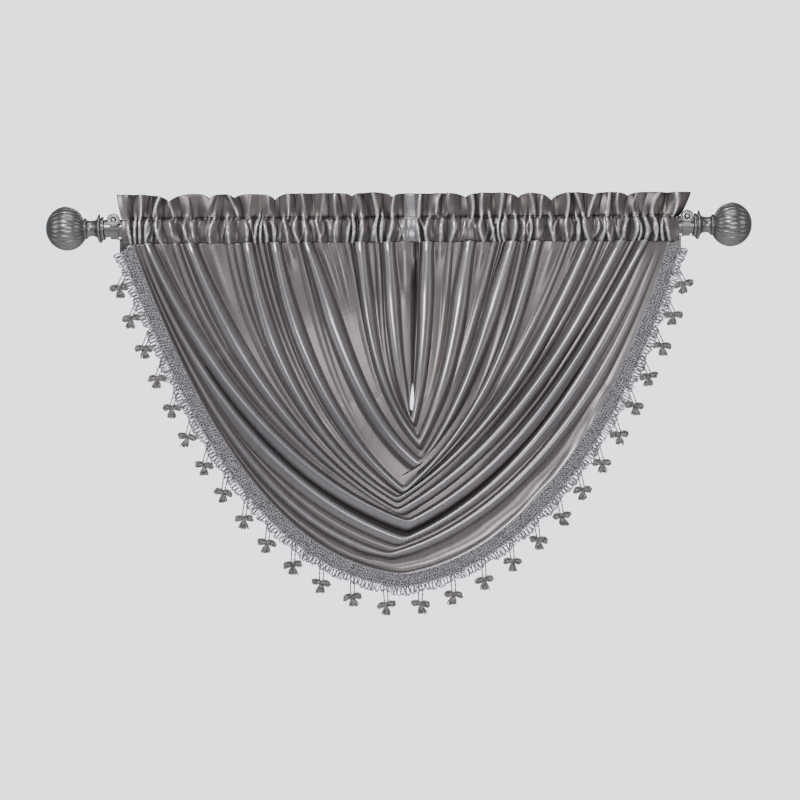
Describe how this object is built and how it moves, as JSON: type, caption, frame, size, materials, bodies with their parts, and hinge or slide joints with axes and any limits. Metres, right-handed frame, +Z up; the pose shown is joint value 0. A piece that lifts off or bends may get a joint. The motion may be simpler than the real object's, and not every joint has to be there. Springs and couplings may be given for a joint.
{
  "type": "waterfall valance on curtain rod",
  "caption": "Gathered satin waterfall valance with ruffled heading, open centre slit and looped tassel braid, hung on a rod with fluted ball finials and wall brackets.",
  "frame": {"origin": "on the wall plane behind the rod, midway between the finials and level with the rod's axis", "axes": "+X to the right along the rod seen from the room, +Y into the wall, +Z up"},
  "size_m": [1.1284, 0.1463, 0.6711],
  "materials": {
    "satin": "lustrous pewter satin",
    "braid": "woven gimp",
    "tassel": "silky yarn",
    "rod_metal": "satin pewter",
    "bracket_metal": "satin",
    "screw_metal": "polished"
  },
  "bodies": {
    "root": {"valance_cloth": "satin", "trim_braid": "braid", "rod": "rod_metal", "finial_left": "rod_metal", "finial_right": "rod_metal", "bracket_left": "bracket_metal", "bracket_right": "bracket_metal", "screw_left": "screw_metal", "screw_right": "screw_metal", "tassel_01": "tassel", "tassel_02": "tassel", "tassel_03": "tassel", "tassel_04": "tassel", "tassel_05": "tassel", "tassel_06": "tassel", "tassel_07": "tassel", "tassel_08": "tassel", "tassel_09": "tassel", "tassel_10": "tassel", "tassel_11": "tassel", "tassel_12": "tassel", "tassel_13": "tassel", "tassel_14": "tassel", "tassel_15": "tassel", "tassel_16": "tassel", "tassel_17": "tassel", "tassel_18": "tassel", "tassel_19": "tassel", "tassel_20": "tassel", "tassel_21": "tassel", "tassel_22": "tassel", "tassel_23": "tassel", "tassel_24": "tassel", "tassel_25": "tassel", "tassel_26": "tassel", "tassel_27": "tassel", "tassel_28": "tassel"}
  },
  "joints": []
}
